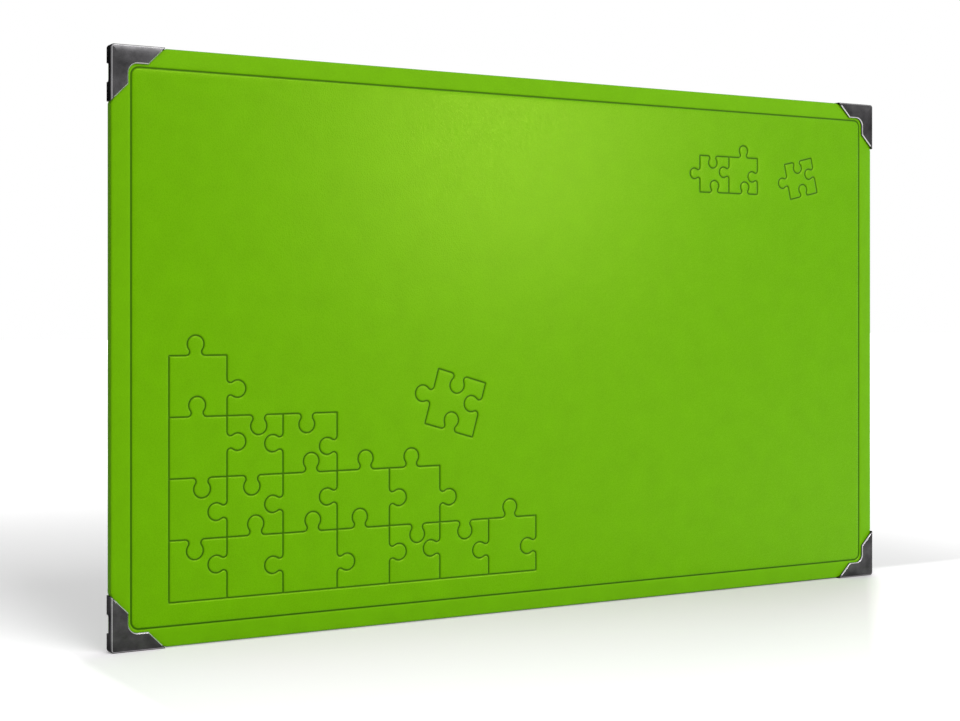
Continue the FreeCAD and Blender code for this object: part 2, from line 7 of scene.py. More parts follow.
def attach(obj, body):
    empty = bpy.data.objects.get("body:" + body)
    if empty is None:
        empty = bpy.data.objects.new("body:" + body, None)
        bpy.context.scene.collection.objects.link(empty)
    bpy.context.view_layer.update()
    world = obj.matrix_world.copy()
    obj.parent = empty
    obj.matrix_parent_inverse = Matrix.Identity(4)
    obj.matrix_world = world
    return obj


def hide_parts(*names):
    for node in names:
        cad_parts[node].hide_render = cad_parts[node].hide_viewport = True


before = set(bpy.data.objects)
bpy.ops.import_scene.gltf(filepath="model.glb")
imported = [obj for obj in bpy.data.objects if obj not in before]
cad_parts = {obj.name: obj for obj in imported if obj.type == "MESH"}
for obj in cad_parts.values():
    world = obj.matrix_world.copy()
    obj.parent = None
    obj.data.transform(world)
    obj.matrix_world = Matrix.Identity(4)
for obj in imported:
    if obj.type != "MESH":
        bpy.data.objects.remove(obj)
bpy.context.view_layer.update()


# Core panel
# The stiff middle of the board: 3.2 mm hardboard, brown wood fibres felted and pressed hot,
# sawn to size. The foam is glued to its front and the leatherette is turned in on its back.
def put(tree, kind, feeds=None, **settings):
    """One node of a material or a tree, its sockets filled with values or joined to other nodes."""
    made = tree.nodes.new(kind)
    for setting, value in settings.items():
        setattr(made, setting, value)
    for socket, feed in (feeds or {}).items():
        if isinstance(feed, bpy.types.NodeSocket):
            tree.links.new(feed, made.inputs[socket])
        else:
            made.inputs[socket].default_value = feed
    return made


def reckon(tree, operation, *terms):
    """A sum on numbers."""
    return put(tree, "ShaderNodeMath", dict(enumerate(terms)), operation=operation).outputs[0]


def vector(tree, operation, *terms, **scale):
    """A sum on vectors. `Scale` is given by name, because it has a socket of its own."""
    feeds = dict(enumerate(terms), **scale)
    return put(tree, "ShaderNodeVectorMath", feeds, operation=operation).outputs[0]


def blend(tree, share, under, over, blending="MIX"):
    """One colour over another, by a share."""
    feeds = {0: share, 6: under, 7: over}
    return put(tree, "ShaderNodeMix", feeds, data_type="RGBA", blend_type=blending).outputs[2]


def ease(tree, value, low, high, start=0.0, end=1.0):
    """A ramp with soft ends, from `start` where the value is low to `end` where it is high."""
    feeds = {0: value, 1: low, 2: high, 3: start, 4: end}
    return put(tree, "ShaderNodeMapRange", feeds, interpolation_type="SMOOTHSTEP").outputs[0]


def new_group(name, kind, inputs, outputs):
    """An empty node group with named sockets, each a (name, socket type, value)."""
    group = bpy.data.node_groups.new(name, kind)
    for direction, sockets in (("INPUT", inputs), ("OUTPUT", outputs)):
        for label, socket_type, value in sockets:
            socket = group.interface.new_socket(label, in_out=direction, socket_type=socket_type)
            if value is not None:
                socket.default_value = value
    given, out = group.nodes.new("NodeGroupInput"), group.nodes.new("NodeGroupOutput")
    return group, given.outputs, out.inputs


def finish_material(name, roughness):
    """A material with its one Principled shader, and the tree's Object coordinates."""
    material = bpy.data.materials.new(name)
    material.use_nodes = True
    tree = material.node_tree
    shader = tree.nodes["Principled BSDF"]
    shader.inputs["Roughness"].default_value = roughness
    place = put(tree, "ShaderNodeTexCoord").outputs["Object"]
    return material, tree, shader, place


def dress(node, material):
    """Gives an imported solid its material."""
    node.data.materials.clear()
    node.data.materials.append(material)


# Uneven tone: broad soft patches, a little lighter and darker, as every dyed or pressed sheet has.
# The noise keeps near its middle, so the swing is spread to reach the amount asked for.
SWING_SPREAD = 4.0
uneven_tone, given, out = new_group("uneven_tone", "ShaderNodeTree", [
    ("Place", "NodeSocketVector", None), ("Patch Size", "NodeSocketFloat", 0.02),
    ("Amount", "NodeSocketFloat", 0.1)], [("Tone", "NodeSocketFloat", None)])
patches = put(uneven_tone, "ShaderNodeTexNoise", {
    "Vector": given["Place"], "Scale": reckon(uneven_tone, "DIVIDE", 1.0, given["Patch Size"]),
    "Detail": 4.0, "Roughness": 0.55}).outputs["Fac"]
swing = reckon(uneven_tone, "SUBTRACT", patches, 0.5)
swing = reckon(uneven_tone, "MULTIPLY", swing, given["Amount"])
uneven_tone.links.new(reckon(uneven_tone, "MULTIPLY_ADD", swing, SWING_SPREAD, 1.0), out["Tone"])

# Matted fibres: fine hairs that lie across each other in the plane of the sheet, in four directions
FIBRE_TURNS = (0.3, 1.1, 1.9, 2.7)
matted_fibres, given, out = new_group("matted_fibres", "ShaderNodeTree", [
    ("Place", "NodeSocketVector", None), ("Length", "NodeSocketFloat", 0.004),
    ("Thickness", "NodeSocketFloat", 0.0004), ("Curl", "NodeSocketFloat", 0.5)],
    [("Fibres", "NodeSocketFloat", None)])
curl = put(matted_fibres, "ShaderNodeTexNoise", {
    "Vector": given["Place"], "Scale": reckon(matted_fibres, "DIVIDE", 0.7, given["Length"])})
curled = vector(matted_fibres, "ADD", curl.outputs["Color"], (-0.5, -0.5, -0.5))
reach = reckon(matted_fibres, "MULTIPLY", given["Length"], given["Curl"])
curled = vector(matted_fibres, "SCALE", curled, Scale=reach)
curled = vector(matted_fibres, "ADD", given["Place"], curled)
fibre_size = put(matted_fibres, "ShaderNodeCombineXYZ", {
    0: given["Length"], 1: given["Thickness"], 2: given["Thickness"]}).outputs[0]
matted = None
for turn in FIBRE_TURNS:
    lie = put(matted_fibres, "ShaderNodeVectorRotate", {"Vector": curled, "Angle": turn},
              rotation_type="Y_AXIS").outputs[0]
    lie = vector(matted_fibres, "DIVIDE", lie, fibre_size)
    hairs = put(matted_fibres, "ShaderNodeTexNoise", {
        "Vector": lie, "Scale": 1.0, "Detail": 1.0}).outputs["Fac"]
    crest = reckon(matted_fibres, "ABSOLUTE", reckon(matted_fibres, "SUBTRACT", hairs, 0.5))
    crest = ease(matted_fibres, crest, 0.0, 0.12, 1.0, 0.0)
    matted = crest if matted is None else reckon(matted_fibres, "MAXIMUM", matted, crest)
matted_fibres.links.new(matted, out["Fibres"])


def pressed_fibre_material(name, pale, dark, fibre_length, fibre_thickness, relief):
    """Board made of short fibres: hardboard and greyboard differ in colour and in fibre size."""
    material, tree, shader, place = finish_material(name, 0.8)
    fibres = put(tree, "ShaderNodeGroup", {
        "Place": place, "Length": fibre_length, "Thickness": fibre_thickness, "Curl": 0.6},
        node_tree=matted_fibres).outputs["Fibres"]
    tone = put(tree, "ShaderNodeGroup", {"Place": place, "Patch Size": 0.03, "Amount": 0.12},
               node_tree=uneven_tone).outputs["Tone"]
    colour = blend(tree, fibres, dark, pale)
    colour = blend(tree, 1.0, colour, tone, "MULTIPLY")
    tree.links.new(colour, shader.inputs["Base Color"])
    tree.links.new(ease(tree, fibres, 0.0, 1.0, 0.88, 0.7), shader.inputs["Roughness"])
    bump = put(tree, "ShaderNodeBump", {"Height": fibres, "Distance": relief, "Strength": 0.6})
    tree.links.new(bump.outputs[0], shader.inputs["Normal"])
    return material


hardboard = pressed_fibre_material(
    "hardboard", (0.235, 0.128, 0.062, 1), (0.118, 0.058, 0.027, 1), 0.003, 0.00025, 0.00005)
dress(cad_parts["core_panel"], hardboard)


# Front padding
# A 1 mm sheet of open-cell foam between the hardboard and the leatherette, glued to the board only.
# It gives under the die, so that the pressed lines sink in, and takes a small round along its edge.
MM = 0.001
BOARD_WIDTH, BOARD_HEIGHT, BOARD_FOOT = 500, 300, 0.4
CORE_FRONT, FOAM_GAUGE, FOAM_ROUND = -0.95, 1.0, 0.3
LEATHER_GAUGE = 0.8
# Stations along a side, from each corner to past the end of the guard's wall, and between them
CORNER_STATIONS = [6, 9, 12, 15, 18, 21, 24, 26.5, 27.5, 28, 28.3, 28.6, 28.9, 29.5, 30.5]
MIDDLE_START, MIDDLE_SPACING = 32, 2.6
WALL_END = 28.3, 28.9
CORNER_STEPS = 8
# Height of one row in a grid of even triangles
TRIANGLE_RISE = 0.87


def side_stations(length):
    """Distances along one side of the board, closer where the ends of the guards' walls press."""
    run = length - 2 * MIDDLE_START
    count = round(run / MIDDLE_SPACING)
    middle = [MIDDLE_START + run * step / count for step in range(count + 1)]
    return CORNER_STATIONS + middle + [length - end for end in reversed(CORNER_STATIONS)]


def edge_ring(inset, depth, corner, press=0.0, slit=None):
    """One closed line round the board at an inset from its outer edge. The guards' walls press it
    in by `press` near the corners. `slit` is the depth that it drops to on each corner's seam."""
    first = CORNER_STATIONS[0]
    ring = []
    corners = [(0, 0), (1, 0), (1, 1), (0, 1)]
    for number, (right, up) in enumerate(corners):
        length = BOARD_WIDTH if number % 2 == 0 else BOARD_HEIGHT
        along = [(1, 0), (0, 1), (-1, 0), (0, -1)][number]
        inward = (-along[1], along[0])
        start = right * BOARD_WIDTH, up * BOARD_HEIGHT
        held = inset + press
        bend = max(corner, 0.01)
        centre = (start[0] + (inward[0] + along[0]) * (held + bend),
                  start[1] + (inward[1] + along[1]) * (held + bend))
        for step in range(CORNER_STEPS + 1):
            angle = math.pi / 2 * step / CORNER_STEPS
            out_first = -along[0] * math.cos(angle) - inward[0] * math.sin(angle)
            out_second = -along[1] * math.cos(angle) - inward[1] * math.sin(angle)
            sunk = slit if slit is not None and step == CORNER_STEPS // 2 else depth
            ring.append((centre[0] + bend * out_first, sunk, centre[1] + bend * out_second))
        near, far = held + bend, length - held - bend
        for station in side_stations(length):
            if near > first - 1:
                station = near + 1 + (station - first) * (far - near - 2) / (length - 2 * first)
            from_corner = min(station, length - station)
            held_here = inset + press * (1 - smooth(from_corner, *WALL_END))
            ring.append((start[0] + along[0] * station + inward[0] * held_here, depth,
                         start[1] + along[1] * station + inward[1] * held_here))
    return ring


def smooth(value, low, high):
    """From 0 at `low` to 1 at `high`, with soft ends."""
    share = min(1, max(0, (value - low) / (high - low)))
    return share * share * (3 - 2 * share)


def on_board(point):
    """Millimetres from the board's lower left corner, to metres in the scene."""
    return Vector(((point[0] - BOARD_WIDTH / 2) * MM, point[1] * MM, (point[2] + BOARD_FOOT) * MM))


def flat_skin(ring, inner_points, lines=()):
    """Triangles over the flat area inside a ring, with points and edges on every one of `lines`."""
    spots = [Vector((x, z)) for x, _, z in ring]
    edges = [(spot, (spot + 1) % len(ring)) for spot in range(len(ring))]
    for line in lines:
        edges += [(len(spots) + step, len(spots) + step + 1) for step in range(len(line) - 1)]
        spots += [Vector(point) for point in line]
    spots += [Vector(point) for point in inner_points]
    made = geometry.delaunay_2d_cdt(spots, edges, [], 1, 0.00001)
    depth = ring[0][1]
    return [(x, depth, z) for x, z in made[0]], [list(face) for face in made[2]]


def grid_points(spacing, inset):
    """Staggered points over the board's face, well inside its rim."""
    points = []
    rows = round((BOARD_HEIGHT - 2 * inset) / (spacing * TRIANGLE_RISE))
    for row in range(rows + 1):
        across = inset + (BOARD_HEIGHT - 2 * inset) * row / rows
        along = inset + (spacing / 2 if row % 2 else 0)
        while along <= BOARD_WIDTH - inset:
            points.append((along, across))
            along += spacing
    return points


def shell(name, rings, caps):
    """A piece of rings joined by strips, with flat caps, each (points, faces, True if in front)."""
    points = [point for ring in rings for point in ring]
    count = len(rings[0])
    faces = []
    for lower in range(len(rings) - 1):
        for step in range(count):
            following = (step + 1) % count
            faces.append((lower * count + step, (lower + 1) * count + step,
                          (lower + 1) * count + following, lower * count + following))
    for cap_points, cap_faces, to_front in caps:
        start = len(points)
        points += cap_points
        for face in cap_faces:
            turned = [start + corner for corner in face]
            faces.append(turned if to_front else turned[::-1])
    mesh = bpy.data.meshes.new(name)
    mesh.from_pydata([on_board(point) for point in points], [], faces)
    piece = bpy.data.objects.new(name, mesh)
    bpy.context.scene.collection.objects.link(piece)
    return piece


def knit(piece, gap=0.000002, smooth_angle=40):
    """Merges the rims of rings and caps, and shades the piece smooth except along true corners."""
    work = bmesh.new()
    work.from_mesh(piece.data)
    bmesh.ops.remove_doubles(work, verts=work.verts, dist=gap)
    bmesh.ops.recalc_face_normals(work, faces=work.faces)
    work.to_mesh(piece.data)
    work.free()
    piece.data.shade_smooth()
    piece.data.set_sharp_from_angle(angle=math.radians(smooth_angle))


FOAM_SIDE_GAP, FOAM_FACE_GAP, FOAM_CORNER = 0.03, 0.02, 0.6
foam_front = CORE_FRONT - FOAM_GAUGE
foam_rings = []
for step in range(5):
    angle = math.pi / 2 * step / 4
    foam_rings.append(edge_ring(
        LEATHER_GAUGE + FOAM_ROUND * (1 - math.sin(angle)) + FOAM_SIDE_GAP,
        foam_front + FOAM_FACE_GAP + FOAM_ROUND * (1 - math.cos(angle)), FOAM_CORNER))
foam_rings.append(edge_ring(LEATHER_GAUGE + 0.05, CORE_FRONT - 0.3, FOAM_CORNER))
foam_rings.append(edge_ring(LEATHER_GAUGE + FOAM_SIDE_GAP, CORE_FRONT - FOAM_FACE_GAP, FOAM_CORNER))
front_cap = flat_skin(foam_rings[0], grid_points(9, 9))
back_cap = flat_skin(foam_rings[-1], grid_points(25, 12))
foam_padding = shell("foam_padding", foam_rings, [(*front_cap, True), (*back_cap, False)])
knit(foam_padding)

foam, tree, shader, place = finish_material("open_cell_foam", 0.95)
cells = put(tree, "ShaderNodeTexVoronoi", {"Vector": place, "Scale": 1600.0},
            feature="DISTANCE_TO_EDGE").outputs["Distance"]
walls = ease(tree, cells, 0.02, 0.25)
tone = put(tree, "ShaderNodeGroup", {"Place": place, "Patch Size": 0.05, "Amount": 0.08},
           node_tree=uneven_tone).outputs["Tone"]
# The pores are painted darker than their walls: painted shade in the foam's hollows.
foam_colour = blend(tree, walls, (0.82, 0.79, 0.70, 1), (0.52, 0.48, 0.38, 1))
tree.links.new(blend(tree, 1.0, foam_colour, tone, "MULTIPLY"), shader.inputs["Base Color"])
pits = put(tree, "ShaderNodeBump", {"Height": walls, "Distance": 0.0002, "Strength": 0.7},
           invert=True)
tree.links.new(pits.outputs[0], shader.inputs["Normal"])
foam_padding.data.materials.append(foam)
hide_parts("front_padding")
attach(foam_padding, "root")


# Leatherette cover
# One sheet of 0.8 mm grained green leatherette, stretched over the foam, round all four edges and
# turned in 20 mm on the back, its flaps mitred. A heated die has pressed the border and pictures.
LEATHER_FRONT, LEATHER_BACK = -2.75, 3.05
FRONT_ROUND, BACK_ROUND, CORNER_ROUND, FLAP_CORNER = 1.1, 0.8, 1.4, 0.77
EDGE_DROP, FACE_WAVE = 0.35, 0.03
TURN_IN, MITRE_END, GUARD_SEAT = 20, 3, 0.3
PRESSED_DEPTH, BORDER_WIDTH, PICTURE_WIDTH, SOFT_REACH = 0.45, 1.3, 1.1, 3.2
BORDER_INSET, BORDER_CORNER = 10.35, 4
PICTURE_LEFT, PICTURE_BOTTOM, PICTURE_PIECE = 30, 22, 31
BADGE_LEFT, BADGE_BOTTOM, BADGE_PIECE = 363, 240, 22
TAB_HEAD, TAB_SHOULDER, TAB_REACH, TAB_WANDER = 0.145, 0.061, 0.187, 0.07
LINE_STEP = 0.85


def jigsaw_side(start, end, out, wander):
    """The line of one side of a jigsaw piece, with its tab: two shoulders and a round head."""
    length = math.hypot(end[0] - start[0], end[1] - start[1])
    head, shoulder, reach = TAB_HEAD * length, TAB_SHOULDER * length, TAB_REACH * length
    middle = length * (0.5 + TAB_WANDER * wander)
    spread = math.sqrt((head + shoulder) ** 2 - (reach - shoulder) ** 2)
    lean = math.atan2(reach - shoulder, spread)

    def point(along, away):
        across = (start[1] - end[1]) / length, (end[0] - start[0]) / length
        forward = (end[0] - start[0]) / length, (end[1] - start[1]) / length
        return (start[0] + forward[0] * along + across[0] * away * out,
                start[1] + forward[1] * along + across[1] * away * out)

    line = [point(0, 0)]
    for share in range(9):
        angle = -math.pi / 2 + (lean + math.pi / 2) * share / 8
        line.append(point(middle - spread + shoulder * math.cos(angle),
                          shoulder + shoulder * math.sin(angle)))
    for share in range(1, 20):
        angle = math.pi + lean - (math.pi + 2 * lean) * share / 20
        line.append(point(middle + head * math.cos(angle), reach + head * math.sin(angle)))
    for share in range(8, -1, -1):
        angle = -math.pi / 2 + (lean + math.pi / 2) * share / 8
        line.append(point(middle + spread - shoulder * math.cos(angle),
                          shoulder + shoulder * math.sin(angle)))
    return line + [point(length, 0)]


def jigsaw_block(piece, rows, framed):
    """All lines of a block of joined pieces, `rows` giving the number in each row from below. The
    tabs' sides and wander follow the piece's place; a framed block's left and foot are straight."""
    columns = [sum(1 for count in rows if count > column) for column in range(rows[0])]
    lines = []
    for level, count in enumerate([rows[0]] + rows):
        for column in range(count):
            start, end = (column * piece, level * piece), ((column + 1) * piece, level * piece)
            if framed and level == 0:
                lines.append([start, end])
            else:
                out = 1 if (2 * column + 3 * level) % 5 in (0, 2, 4) else -1
                lines.append(jigsaw_side(start, end, out, math.sin(2.3 * column + 4.1 * level)))
    for column, count in enumerate([columns[0]] + columns):
        for level in range(count):
            start, end = (column * piece, level * piece), (column * piece, (level + 1) * piece)
            if framed and column == 0:
                lines.append([start, end])
            else:
                out = 1 if (3 * column + 2 * level) % 5 in (0, 1, 3) else -1
                lines.append(jigsaw_side(start, end, out, math.sin(1.7 * column + 2.9 * level)))
    return lines


def moved(lines, right, up, degrees=0):
    """The same lines, turned and set down at a place on the board."""
    turn = math.radians(degrees)
    return [[(right + x * math.cos(turn) - z * math.sin(turn),
              up + x * math.sin(turn) + z * math.cos(turn)) for x, z in line] for line in lines]


def even_steps(line, spacing):
    """The same line with its points evenly spaced and its two ends kept."""
    run = [0.0]
    for near, far in zip(line, line[1:]):
        run.append(run[-1] + math.hypot(far[0] - near[0], far[1] - near[1]))
    count = max(2, round(run[-1] / spacing))
    steps, place = [], 0
    for number in range(count + 1):
        target = run[-1] * number / count
        while place < len(line) - 2 and run[place + 1] < target:
            place += 1
        share = (target - run[place]) / (run[place + 1] - run[place])
        steps.append((line[place][0] + (line[place + 1][0] - line[place][0]) * share,
                      line[place][1] + (line[place + 1][1] - line[place][1]) * share))
    return steps


border_line = []
for number, (right, up) in enumerate([(1, 0), (1, 1), (0, 1), (0, 0)]):
    edge = BORDER_INSET + BORDER_CORNER
    centre = (edge + right * (BOARD_WIDTH - 2 * BORDER_INSET - 2 * BORDER_CORNER),
              edge + up * (BOARD_HEIGHT - 2 * BORDER_INSET - 2 * BORDER_CORNER))
    for step in range(13):
        angle = math.pi / 2 * (number - 1 + step / 12)
        border_line.append((centre[0] + BORDER_CORNER * math.cos(angle),
                            centre[1] + BORDER_CORNER * math.sin(angle)))
border_line.append(border_line[0])
picture_lines = moved(jigsaw_block(PICTURE_PIECE, [7, 5, 3, 1], True),
                      PICTURE_LEFT, PICTURE_BOTTOM)
picture_lines += moved(jigsaw_block(PICTURE_PIECE, [1], False), PICTURE_LEFT + 4.7 * PICTURE_PIECE,
                       PICTURE_BOTTOM + 2.75 * PICTURE_PIECE, -16)
picture_lines += moved(jigsaw_block(BADGE_PIECE, [2], False), BADGE_LEFT, BADGE_BOTTOM)
picture_lines += moved(jigsaw_block(BADGE_PIECE, [1], False), BADGE_LEFT + 3.2 * BADGE_PIECE,
                       BADGE_BOTTOM - 0.1 * BADGE_PIECE, 13)
pressed = [even_steps(line, LINE_STEP) for line in [border_line] + picture_lines]

# Points for the skin, dense beside each pressed line and coarser away from it: rows beside the
# lines, as (distance, every how many of a line's points, least gap), then a grid over the rest
SKIN_ROWS = ((0.21, 1, 0.14), (0.37, 1, 0.14), (0.54, 1, 0.15), (0.73, 1, 0.16),
             (0.98, 1, 0.2), (1.27, 1, 0.25), (2.1, 2, 0.9), (3.2, 3, 1.4))
GRID_SPACING, GRID_GAP, CELL = 3.6, 2.0, 3
line_spots = [spot for line in pressed for spot in line]
line_tree = kdtree.KDTree(len(line_spots))
for number, (x, z) in enumerate(line_spots):
    line_tree.insert((x, z, 0), number)
line_tree.balance()
skin_points, taken = [], {}


def add_skin_point(x, z, gap):
    """Takes up a point if no earlier one is nearer than `gap`."""
    cell = int(x // CELL), int(z // CELL)
    for across in (-1, 0, 1):
        for up in (-1, 0, 1):
            for other in taken.get((cell[0] + across, cell[1] + up), ()):
                if (other[0] - x) ** 2 + (other[1] - z) ** 2 < gap * gap:
                    return
    taken.setdefault(cell, []).append((x, z))
    skin_points.append((x, z))


for away, every, gap in SKIN_ROWS:
    for line in pressed:
        for number in range(0, len(line), every):
            before, after = line[max(0, number - 1)], line[min(len(line) - 1, number + 1)]
            run = math.hypot(after[0] - before[0], after[1] - before[1])
            across = (before[1] - after[1]) / run, (after[0] - before[0]) / run
            for side in (-away, away):
                x, z = line[number][0] + across[0] * side, line[number][1] + across[1] * side
                nearest = line_tree.find((x, z, 0))[2]
                if nearest > 0.93 * away:
                    add_skin_point(x, z, gap)
for x, z in grid_points(GRID_SPACING, GRID_SPACING):
    if line_tree.find((x, z, 0))[2] > GRID_SPACING:
        add_skin_point(x, z, GRID_GAP)

front_rim = edge_ring(FRONT_ROUND, LEATHER_FRONT + EDGE_DROP, 0.3, GUARD_SEAT)
skin = flat_skin(front_rim, skin_points, pressed)

# The pressed lines: every point of the skin sinks by its distance from the die's line. The depth is
# shared out between the groove itself, the lip that rolls into it and the dip of the foam around.
GROOVE_SHARE, LIP_SHARE, DIP_SHARE = 0.67, 0.25, 0.08
pressing, given, out = new_group("pressing_die", "GeometryNodeTree", [
    ("Skin", "NodeSocketGeometry", None), ("Die Line", "NodeSocketObject", None),
    ("Line Width", "NodeSocketFloat", 0.0012), ("Depth", "NodeSocketFloat", 0.00045),
    ("Soft Reach", "NodeSocketFloat", 0.003), ("Material", "NodeSocketMaterial", None)],
    [("Pressed Skin", "NodeSocketGeometry", None)])
die = put(pressing, "GeometryNodeObjectInfo", {"Object": given["Die Line"]}).outputs["Geometry"]
away = put(pressing, "GeometryNodeProximity", {0: die}, target_element="EDGES").outputs["Distance"]
floor_half = reckon(pressing, "MULTIPLY", given["Line Width"], 0.2)
wall_foot = reckon(pressing, "MULTIPLY", given["Line Width"], 0.48)
shoulder = reckon(pressing, "MULTIPLY", given["Line Width"], 0.57)
lip_end = reckon(pressing, "MULTIPLY", given["Line Width"], 0.98)
groove = ease(pressing, away, floor_half, shoulder, 1.0, 0.0)
lip = ease(pressing, away, wall_foot, lip_end, 1.0, 0.0)
dip = ease(pressing, away, 0.0, given["Soft Reach"], DIP_SHARE, 0.0)
sunk = reckon(pressing, "MULTIPLY_ADD", lip, LIP_SHARE, dip)
sunk = reckon(pressing, "MULTIPLY_ADD", groove, GROOVE_SHARE, sunk)
# The groove's floor and lower walls are marked for a dark colour: mostly painted shade in the
# groove, with some of the darkening that the die's heat leaves.
mark = ease(pressing, away, floor_half, wall_foot, 1.0, 0.0)
sunk = reckon(pressing, "MULTIPLY", sunk, given["Depth"])
shift = put(pressing, "ShaderNodeCombineXYZ", {1: sunk}).outputs[0]
earlier = put(pressing, "GeometryNodeInputNamedAttribute", {"Name": "burnished"},
              data_type="FLOAT").outputs[0]
mark = reckon(pressing, "MAXIMUM", earlier, mark)
marked = put(pressing, "GeometryNodeStoreNamedAttribute", {
    "Geometry": given["Skin"], "Name": "burnished", "Value": mark},
    data_type="FLOAT", domain="POINT").outputs[0]
sunken = put(pressing, "GeometryNodeSetPosition", {"Geometry": marked, "Offset": shift}).outputs[0]
real = put(pressing, "GeometryNodeRealizeInstances", {0: sunken}).outputs[0]
finished = put(pressing, "GeometryNodeSetMaterial", {
    "Geometry": real, "Material": given["Material"]}).outputs[0]
pressing.links.new(finished, out["Pressed Skin"])


def carried_out(piece):
    """The piece's mesh as its modifiers leave it."""
    graph = bpy.context.evaluated_depsgraph_get()
    return bpy.data.meshes.new_from_object(piece.evaluated_get(graph))


def press(piece, lines, width, material):
    """Runs the die over a skin, with one closed set of lines, and leaves a plain mesh."""
    spots, edges = [], []
    for line in lines:
        edges += [(len(spots) + step, len(spots) + step + 1) for step in range(len(line) - 1)]
        spots += [on_board((x, LEATHER_FRONT, z)) for x, z in line]
    die_mesh = bpy.data.meshes.new("die_line")
    die_mesh.from_pydata(spots, edges, [])
    die_line = bpy.data.objects.new("die_line", die_mesh)
    bpy.context.scene.collection.objects.link(die_line)
    modifier = piece.modifiers.new("pressing_die", "NODES")
    modifier.node_group = pressing
    values = {"Die Line": die_line, "Line Width": width, "Depth": PRESSED_DEPTH * MM,
              "Soft Reach": SOFT_REACH * MM, "Material": material}
    for item in pressing.interface.items_tree:
        if item.name in values:
            modifier[item.identifier] = values[item.name]
    plain = carried_out(piece)
    piece.modifiers.remove(modifier)
    piece.data = plain
    bpy.data.objects.remove(die_line)


# Pebble grain: the embossed pattern of the leatherette, small uneven pebbles with creases between
pebble_grain, given, out = new_group("pebble_grain", "ShaderNodeTree", [
    ("Place", "NodeSocketVector", None), ("Pebble Size", "NodeSocketFloat", 0.0009),
    ("Crease", "NodeSocketFloat", 0.3)],
    [("Height", "NodeSocketFloat", None), ("Pebble Tone", "NodeSocketFloat", None)])
density = reckon(pebble_grain, "DIVIDE", 1.0, given["Pebble Size"])
coarse = reckon(pebble_grain, "MULTIPLY", density, 0.5)
wobble = put(pebble_grain, "ShaderNodeTexNoise", {
    "Vector": given["Place"], "Scale": coarse, "Detail": 2.0}).outputs["Color"]
drift = reckon(pebble_grain, "MULTIPLY", given["Pebble Size"], 1.6)
drift = vector(pebble_grain, "SCALE", wobble, Scale=drift)
drifted = vector(pebble_grain, "ADD", given["Place"], drift)
pebbles = put(pebble_grain, "ShaderNodeTexVoronoi", {"Vector": drifted, "Scale": density},
              feature="DISTANCE_TO_EDGE").outputs["Distance"]
crown = ease(pebble_grain, pebbles, 0.0, given["Crease"])
fine = put(pebble_grain, "ShaderNodeTexNoise", {
    "Vector": drifted, "Scale": reckon(pebble_grain, "MULTIPLY", density, 1.7),
    "Detail": 2.0}).outputs["Fac"]
for label, fine_share, crown_share in (("Height", 0.55, 0.6), ("Pebble Tone", 0.5, 0.5)):
    crowns = reckon(pebble_grain, "MULTIPLY", crown, crown_share)
    pebble_grain.links.new(
        reckon(pebble_grain, "MULTIPLY_ADD", fine, fine_share, crowns), out[label])

# Turned over: how far a surface has turned from the board's front or back towards its edges
turned_over, given, out = new_group("turned_over", "ShaderNodeTree", [
    ("Start", "NodeSocketFloat", 0.8), ("End", "NodeSocketFloat", 0.3)],
    [("Turned", "NodeSocketFloat", None)])
facing = put(turned_over, "ShaderNodeTexCoord").outputs["Normal"]
facing = put(turned_over, "ShaderNodeSeparateXYZ", {0: facing}).outputs[1]
facing = reckon(turned_over, "ABSOLUTE", facing)
turned_over.links.new(
    ease(turned_over, facing, given["End"], given["Start"], 1.0, 0.0), out["Turned"])

# From the edge: how far a spot lies in from the board's outline, seen from the front
from_edge, given, out = new_group("from_edge", "ShaderNodeTree", [
    ("Place", "NodeSocketVector", None)], [("Distance", "NodeSocketFloat", None)])
to_middle = (0, 0, -(BOARD_HEIGHT / 2 + BOARD_FOOT) * MM)
across = vector(from_edge, "ADD", given["Place"], to_middle)
across = vector(from_edge, "ABSOLUTE", across)
across = put(from_edge, "ShaderNodeSeparateXYZ", {0: across}).outputs
to_side = reckon(from_edge, "SUBTRACT", BOARD_WIDTH / 2 * MM, across[0])
to_top = reckon(from_edge, "SUBTRACT", BOARD_HEIGHT / 2 * MM, across[2])
from_edge.links.new(reckon(from_edge, "MINIMUM", to_side, to_top), out["Distance"])

leatherette, tree, shader, place = finish_material("green_leatherette", 0.36)
grain = put(tree, "ShaderNodeGroup", {"Place": place, "Pebble Size": 0.00115, "Crease": 0.28},
            node_tree=pebble_grain).outputs
broad = put(tree, "ShaderNodeGroup", {"Place": place, "Patch Size": 0.012, "Amount": 0.05},
            node_tree=uneven_tone).outputs["Tone"]
side = put(tree, "ShaderNodeGroup", {"Start": 0.8, "End": 0.3},
           node_tree=turned_over).outputs["Turned"]
burnished = put(tree, "ShaderNodeAttribute", attribute_name="burnished").outputs["Fac"]
green = blend(tree, grain["Pebble Tone"], (0.117, 0.361, 0.0001, 1), (0.131, 0.397, 0.0002, 1))
green = blend(tree, 1.0, green, broad, "MULTIPLY")
# The board's edges, turned away from front and back, are painted a darker green: painted shade on
# the sides.
green = blend(tree, reckon(tree, "MULTIPLY", side, 0.6), green, (0.08, 0.25, 0.0005, 1))
# The marked groove is painted near black-green, mostly painted shade in the groove and partly the
# die's heat mark.
green = blend(tree, reckon(tree, "MULTIPLY", burnished, 0.95), green, (0.003, 0.062, 0.0002, 1))
tree.links.new(green, shader.inputs["Base Color"])
